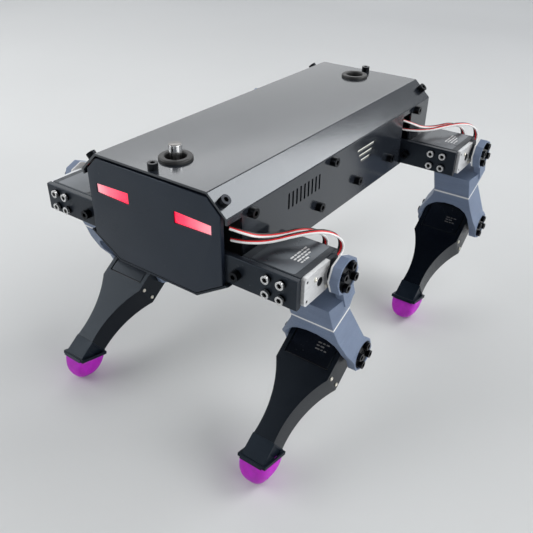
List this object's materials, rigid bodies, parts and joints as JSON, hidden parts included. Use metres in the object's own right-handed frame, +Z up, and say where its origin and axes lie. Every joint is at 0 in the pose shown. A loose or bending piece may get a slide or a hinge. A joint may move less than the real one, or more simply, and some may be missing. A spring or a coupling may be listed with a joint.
{
  "type": "quadruped robot",
  "caption": "Four-legged walking robot with a folded sheet body, lit eye slots, two-servo legs that pitch at the hip and knee, and rubber-tipped feet.",
  "frame": {"origin": "middle of the footprint on the floor", "axes": "+Z up, the face looks along -Y, +X is the robot's left side"},
  "size_m": [0.2426, 0.3364, 0.208],
  "materials": {
    "cover_sheet": "gloss",
    "panel_sheet": "satin",
    "bar_sheet": "satin",
    "eye_lens": "gloss",
    "diffuser": "matte",
    "rubber_ring": "matte",
    "button_metal": "polished",
    "black_screw": "satin",
    "silver_screw": "satin",
    "servo_case": "satin",
    "knee_case": "satin",
    "printed_grey": "matte",
    "printed_white": "matte",
    "printed_black": "matte",
    "horn_metal": "satin",
    "foot_rubber": "satin",
    "lead_wires": "satin"
  },
  "bodies": {
    "chassis": {"top_cover": "cover_sheet", "bottom_tray": "bar_sheet", "front_panel": "panel_sheet", "rear_panel": "panel_sheet", "eye_lenses": "eye_lens", "side_light_plates": "diffuser", "cable_grommets": "rubber_ring", "body_cap_screws": "black_screw", "servo_mount_bolts": "silver_screw", "front_cross_bar": "bar_sheet", "rear_cross_bar": "bar_sheet", "front_left_hip_servo": "servo_case", "front_left_first_lead": "lead_wires", "front_left_second_lead": "lead_wires", "front_right_hip_servo": "servo_case", "front_right_first_lead": "lead_wires", "front_right_second_lead": "lead_wires", "rear_left_hip_servo": "servo_case", "rear_left_first_lead": "lead_wires", "rear_left_second_lead": "lead_wires", "rear_right_hip_servo": "servo_case", "rear_right_first_lead": "lead_wires", "rear_right_second_lead": "lead_wires"},
    "button": {"power_button": "button_metal"},
    "front_left_upper_link": {"front_left_yoke_upper": "printed_grey", "front_left_yoke_accent": "printed_white", "front_left_yoke_fork": "printed_grey", "front_left_horns": "horn_metal", "front_left_horn_screws": "black_screw"},
    "front_left_lower_leg": {"front_left_knee_servo": "knee_case", "front_left_leg_shell": "printed_black", "front_left_foot_boot": "printed_black", "front_left_foot_pad": "foot_rubber"},
    "front_right_upper_link": {"front_right_yoke_upper": "printed_grey", "front_right_yoke_accent": "printed_white", "front_right_yoke_fork": "printed_grey", "front_right_horns": "horn_metal", "front_right_horn_screws": "black_screw"},
    "front_right_lower_leg": {"front_right_knee_servo": "knee_case", "front_right_leg_shell": "printed_black", "front_right_foot_boot": "printed_black", "front_right_foot_pad": "foot_rubber"},
    "rear_left_upper_link": {"rear_left_yoke_upper": "printed_grey", "rear_left_yoke_accent": "printed_white", "rear_left_yoke_fork": "printed_grey", "rear_left_horns": "horn_metal", "rear_left_horn_screws": "black_screw"},
    "rear_left_lower_leg": {"rear_left_knee_servo": "knee_case", "rear_left_leg_shell": "printed_black", "rear_left_foot_boot": "printed_black", "rear_left_foot_pad": "foot_rubber"},
    "rear_right_upper_link": {"rear_right_yoke_upper": "printed_grey", "rear_right_yoke_accent": "printed_white", "rear_right_yoke_fork": "printed_grey", "rear_right_horns": "horn_metal", "rear_right_horn_screws": "black_screw"},
    "rear_right_lower_leg": {"rear_right_knee_servo": "knee_case", "rear_right_leg_shell": "printed_black", "rear_right_foot_boot": "printed_black", "rear_right_foot_pad": "foot_rubber"}
  },
  "joints": [
    {"name": "button_press", "type": "slide", "parent": "chassis", "child": "button", "axis": [0, 0, -1], "range_m": [0, 0.0025], "stiffness_N_per_m": 400, "springref_m": -0.002},
    {"name": "front_left_hip", "type": "hinge", "parent": "chassis", "child": "front_left_upper_link", "pos_m": [0.088, -0.11024, 0.151], "axis": [1, 0, 0], "range_deg": [-30, 35]},
    {"name": "front_left_knee", "type": "hinge", "parent": "front_left_upper_link", "child": "front_left_lower_leg", "pos_m": [0.088, -0.07727, 0.06941], "axis": [1, 0, 0], "range_deg": [-25, 55]},
    {"name": "front_right_hip", "type": "hinge", "parent": "chassis", "child": "front_right_upper_link", "pos_m": [-0.088, -0.11024, 0.151], "axis": [1, 0, 0], "range_deg": [-30, 35]},
    {"name": "front_right_knee", "type": "hinge", "parent": "front_right_upper_link", "child": "front_right_lower_leg", "pos_m": [-0.088, -0.07727, 0.06941], "axis": [1, 0, 0], "range_deg": [-25, 55]},
    {"name": "rear_left_hip", "type": "hinge", "parent": "chassis", "child": "rear_left_upper_link", "pos_m": [0.088, 0.11876, 0.151], "axis": [1, 0, 0], "range_deg": [-30, 35]},
    {"name": "rear_left_knee", "type": "hinge", "parent": "rear_left_upper_link", "child": "rear_left_lower_leg", "pos_m": [0.088, 0.15172, 0.06941], "axis": [1, 0, 0], "range_deg": [-25, 55]},
    {"name": "rear_right_hip", "type": "hinge", "parent": "chassis", "child": "rear_right_upper_link", "pos_m": [-0.088, 0.11876, 0.151], "axis": [1, 0, 0], "range_deg": [-30, 35]},
    {"name": "rear_right_knee", "type": "hinge", "parent": "rear_right_upper_link", "child": "rear_right_lower_leg", "pos_m": [-0.088, 0.15172, 0.06941], "axis": [1, 0, 0], "range_deg": [-25, 55]}
  ]
}
